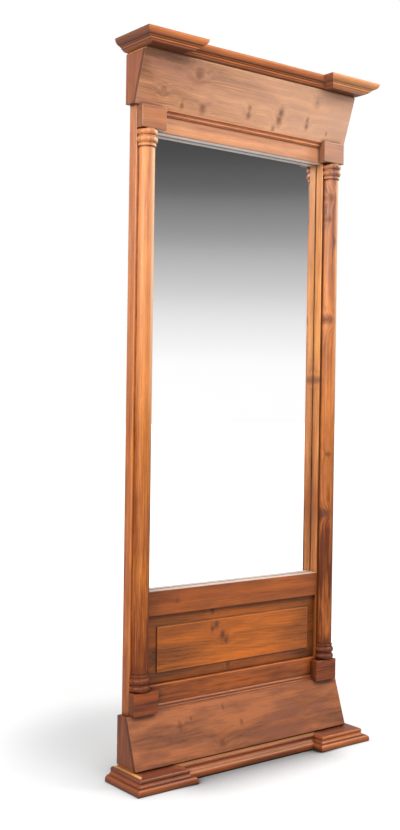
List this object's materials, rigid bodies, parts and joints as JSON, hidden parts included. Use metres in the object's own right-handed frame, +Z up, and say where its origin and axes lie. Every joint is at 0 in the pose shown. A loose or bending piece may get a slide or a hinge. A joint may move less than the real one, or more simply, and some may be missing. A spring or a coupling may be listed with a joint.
{
  "type": "pier mirror",
  "caption": "Tall framed wall mirror with half-round columns, raked frieze and plinth, breakfront cornice and base, and a fielded panel below the glass.",
  "frame": {"origin": "middle of the footprint on the floor, below the centre of the bounding box", "axes": "+Z up, +X to the right as seen from the front, -Y towards the viewer; the back lies on a plane parallel to X and Z at the +Y side"},
  "size_m": [0.812, 0.151, 1.9],
  "materials": {
    "frieze_pine": "stained knotty pine, satin varnish, paler",
    "frame_pine": "stained pine, satin varnish",
    "column_pine": "honey-stained pine, satin varnish",
    "moulding_pine": "stained pine, satin varnish",
    "plinth_pine": "dark-stained knotty pine, satin varnish",
    "plain_pine": "unstained pine, sawn",
    "silvered_glass": "polished silvered glass",
    "hardboard": "plain hardboard",
    "zinc_plated_steel": "zinc plated"
  },
  "bodies": {
    "root": {"left_stile": "frame_pine", "right_stile": "frame_pine", "top_rail": "frame_pine", "middle_rail": "frame_pine", "bottom_rail": "frame_pine", "raised_panel": "frame_pine", "mirror_glass": "silvered_glass", "back_board": "hardboard", "back_board_screws": "zinc_plated_steel", "left_column": "column_pine", "right_column": "column_pine", "left_cap_block": "column_pine", "right_cap_block": "column_pine", "left_foot_block": "column_pine", "right_foot_block": "column_pine", "frieze_board": "frieze_pine", "left_frieze_cheek": "frieze_pine", "right_frieze_cheek": "frieze_pine", "frieze_glue_blocks": "plain_pine", "frieze_bead": "moulding_pine", "plinth_board": "plinth_pine", "left_plinth_cheek": "plinth_pine", "right_plinth_cheek": "plinth_pine", "plinth_glue_blocks": "plain_pine", "plinth_bead": "moulding_pine", "cornice_board": "plain_pine", "left_cornice_packing": "moulding_pine", "right_cornice_packing": "moulding_pine", "cornice_middle_moulding": "moulding_pine", "left_cornice_front_moulding": "moulding_pine", "right_cornice_front_moulding": "moulding_pine", "left_cornice_side_moulding": "moulding_pine", "right_cornice_side_moulding": "moulding_pine", "left_cornice_return": "moulding_pine", "right_cornice_return": "moulding_pine", "cornice_screws": "zinc_plated_steel", "base_board": "plain_pine", "left_base_packing": "moulding_pine", "right_base_packing": "moulding_pine", "base_middle_moulding": "moulding_pine", "left_base_front_moulding": "moulding_pine", "right_base_front_moulding": "moulding_pine", "left_base_side_moulding": "moulding_pine", "right_base_side_moulding": "moulding_pine", "left_base_return": "moulding_pine", "right_base_return": "moulding_pine", "base_screws": "zinc_plated_steel"}
  },
  "joints": []
}
